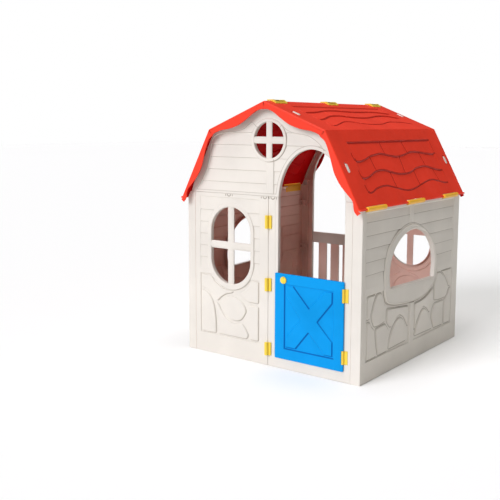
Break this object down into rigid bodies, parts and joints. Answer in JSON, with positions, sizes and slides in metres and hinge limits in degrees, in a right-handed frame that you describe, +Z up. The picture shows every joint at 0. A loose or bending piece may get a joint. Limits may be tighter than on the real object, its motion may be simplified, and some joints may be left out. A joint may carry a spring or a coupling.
{
  "type": "folding playhouse",
  "caption": "Plastic child's playhouse with a barn roof, half door, windows and back railing, whose walls and roof halves fold flat.",
  "frame": {"origin": "on the floor, under the middle of the house", "axes": "+Z up, the door faces -Y, +X to the right of someone facing the door from outside"},
  "size_m": [0.905, 0.974, 1.0955],
  "materials": {
    "cream": "fine moulded grain",
    "red": "fine moulded grain",
    "blue": "fine moulded grain",
    "yellow": "smooth moulded",
    "pin": "smooth moulded"
  },
  "bodies": {
    "right_wall": {"right_wall": "cream", "right_eave_hinge_1": "yellow", "right_eave_hinge_2": "yellow", "right_eave_hinge_3": "yellow", "corner_pin_front_right_1": "pin", "corner_pin_front_right_2": "pin", "corner_pin_front_right_3": "pin", "corner_pin_back_right_1": "pin", "corner_pin_back_right_2": "pin", "corner_pin_back_right_3": "pin"},
    "front_right_panel": {"front_right_panel": "cream", "door_hinge_1": "yellow", "door_hinge_2": "yellow", "front_centre_hinge_1": "yellow", "front_centre_hinge_2": "yellow", "front_centre_hinge_3": "yellow"},
    "front_left_panel": {"front_left_panel": "cream"},
    "left_wall": {"left_wall": "cream", "left_eave_hinge_1": "yellow", "left_eave_hinge_2": "yellow", "left_eave_hinge_3": "yellow", "corner_pin_front_left_1": "pin", "corner_pin_front_left_2": "pin", "corner_pin_front_left_3": "pin", "corner_pin_back_left_1": "pin", "corner_pin_back_left_2": "pin", "corner_pin_back_left_3": "pin"},
    "back_right_panel": {"back_right_panel": "cream"},
    "back_left_panel": {"back_left_panel": "cream", "back_railing": "cream", "back_centre_hinge_1": "yellow", "back_centre_hinge_2": "yellow", "back_centre_hinge_3": "yellow"},
    "front_gable": {"front_gable": "cream"},
    "back_gable": {"back_gable": "cream"},
    "right_roof_lower": {"right_roof_lower": "red"},
    "right_roof_upper": {"right_roof_upper": "red", "ridge_clip_1": "yellow", "ridge_clip_2": "yellow", "ridge_clip_3": "yellow"},
    "left_roof_lower": {"left_roof_lower": "red"},
    "left_roof_upper": {"left_roof_upper": "red"},
    "door": {"door": "blue"},
    "door_latch": {"door_latch": "yellow"}
  },
  "joints": [
    {"name": "front_right_fold", "type": "hinge", "parent": "right_wall", "child": "front_right_panel", "pos_m": [0.411, -0.435, 0], "axis": [0, 0, -1], "range_deg": [0, 90]},
    {"name": "front_centre_fold", "type": "hinge", "parent": "front_right_panel", "child": "front_left_panel", "pos_m": [0, -0.461, 0], "axis": [0, 0, 1], "range_deg": [0, 180]},
    {"name": "front_left_fold", "type": "hinge", "parent": "front_left_panel", "child": "left_wall", "pos_m": [-0.411, -0.435, 0], "axis": [0, 0, -1], "range_deg": [0, 90]},
    {"name": "back_right_fold", "type": "hinge", "parent": "right_wall", "child": "back_right_panel", "pos_m": [0.411, 0.435, 0], "axis": [0, 0, 1], "range_deg": [0, 90]},
    {"name": "back_centre_fold", "type": "hinge", "parent": "back_right_panel", "child": "back_left_panel", "pos_m": [0, 0.461, 0], "axis": [0, 0, -1], "range_deg": [0, 180]},
    {"name": "right_roof_swing", "type": "hinge", "parent": "right_wall", "child": "right_roof_lower", "pos_m": [0.443, 0, 0.68], "axis": [0, 1, 0], "range_deg": [0, 207.6]},
    {"name": "right_roof_knee", "type": "hinge", "parent": "right_roof_lower", "child": "right_roof_upper", "pos_m": [0.288, 0, 0.975], "axis": [0, 1, 0], "range_deg": [0, 40.4]},
    {"name": "left_roof_swing", "type": "hinge", "parent": "left_wall", "child": "left_roof_lower", "pos_m": [-0.443, 0, 0.68], "axis": [0, -1, 0], "range_deg": [0, 207.6]},
    {"name": "left_roof_knee", "type": "hinge", "parent": "left_roof_lower", "child": "left_roof_upper", "pos_m": [-0.288, 0, 0.975], "axis": [0, -1, 0], "range_deg": [0, 40.4]},
    {"name": "front_gable_lift", "type": "slide", "parent": "right_wall", "child": "front_gable", "axis": [0, 0, 1], "range_m": [0, 0.6]},
    {"name": "back_gable_lift", "type": "slide", "parent": "right_wall", "child": "back_gable", "axis": [0, 0, 1], "range_m": [0, 0.6]},
    {"name": "door_swing", "type": "hinge", "parent": "front_right_panel", "child": "door", "pos_m": [0.362, -0.456, 0], "axis": [0, 0, 1], "range_deg": [0, 178]},
    {"name": "latch_turn", "type": "hinge", "parent": "door", "child": "door_latch", "pos_m": [0.085, -0.456, 0.372], "axis": [0, 1, 0], "range_deg": [0, 90]}
  ],
  "couplings": [
    {"joint": "front_centre_fold", "follows": "front_right_fold", "ratio": 2},
    {"joint": "front_left_fold", "follows": "front_right_fold", "ratio": 1},
    {"joint": "back_right_fold", "follows": "front_right_fold", "ratio": 1},
    {"joint": "back_centre_fold", "follows": "front_right_fold", "ratio": 2},
    {"joint": "right_roof_swing", "follows": "front_right_fold", "ratio": 2.306},
    {"joint": "right_roof_knee", "follows": "front_right_fold", "ratio": 0.4478},
    {"joint": "left_roof_swing", "follows": "front_right_fold", "ratio": 2.306},
    {"joint": "left_roof_knee", "follows": "front_right_fold", "ratio": 0.4478},
    {"joint": "front_gable_lift", "follows": "front_right_fold", "m_per_rad": 0.38},
    {"joint": "back_gable_lift", "follows": "front_right_fold", "m_per_rad": 0.38}
  ]
}
